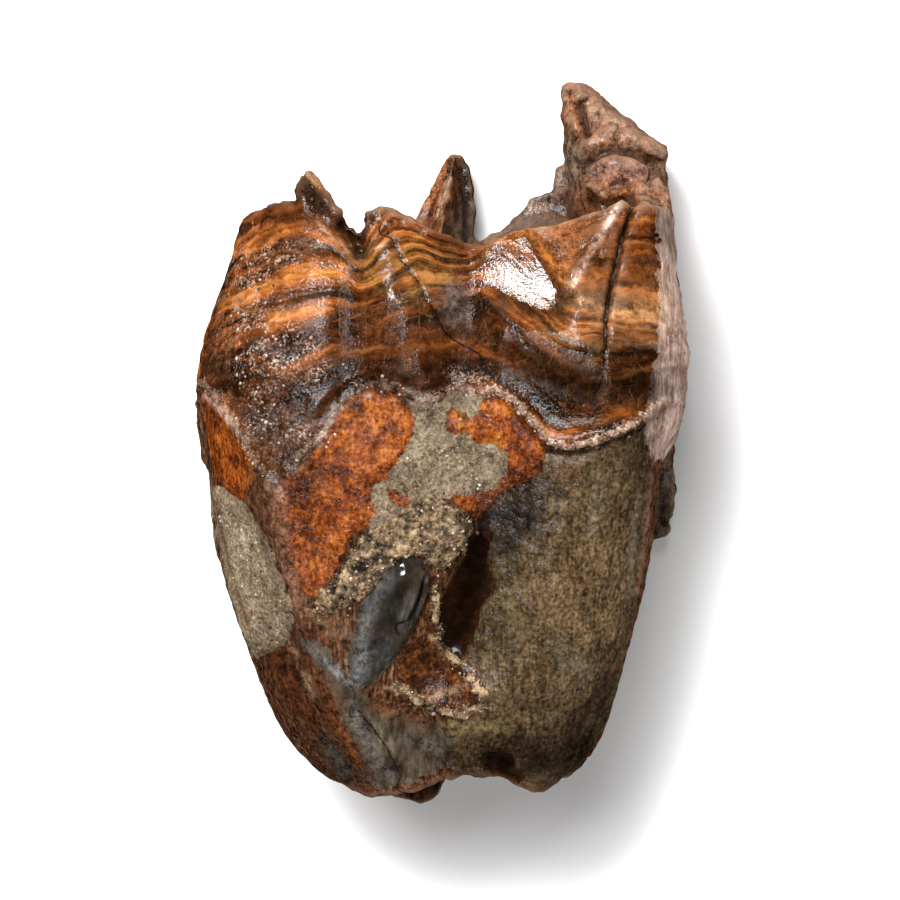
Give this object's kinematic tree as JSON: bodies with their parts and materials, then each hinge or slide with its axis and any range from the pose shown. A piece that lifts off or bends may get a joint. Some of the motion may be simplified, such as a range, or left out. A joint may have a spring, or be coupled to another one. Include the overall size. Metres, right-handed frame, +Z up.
{
  "type": "fossil woolly rhino tooth",
  "caption": "Fossil cheek tooth of a woolly rhino, lying on its outer wall: folded enamel crown with a broken rim, deep crown hollows and a thick fused root.",
  "frame": {"origin": "centre of the bounding box's footprint, on the surface the tooth lies on", "axes": "+Y from the root end to the broken chewing edge, +X along the tooth row, +Z up out of the tongue-side face"},
  "size_m": [0.0546, 0.0804, 0.045],
  "materials": {
    "fossil_tooth": "varnished dark brown and amber banded enamel on a dull grey, rust and tan root"
  },
  "bodies": {
    "root": {"tooth": "fossil_tooth"}
  },
  "joints": []
}
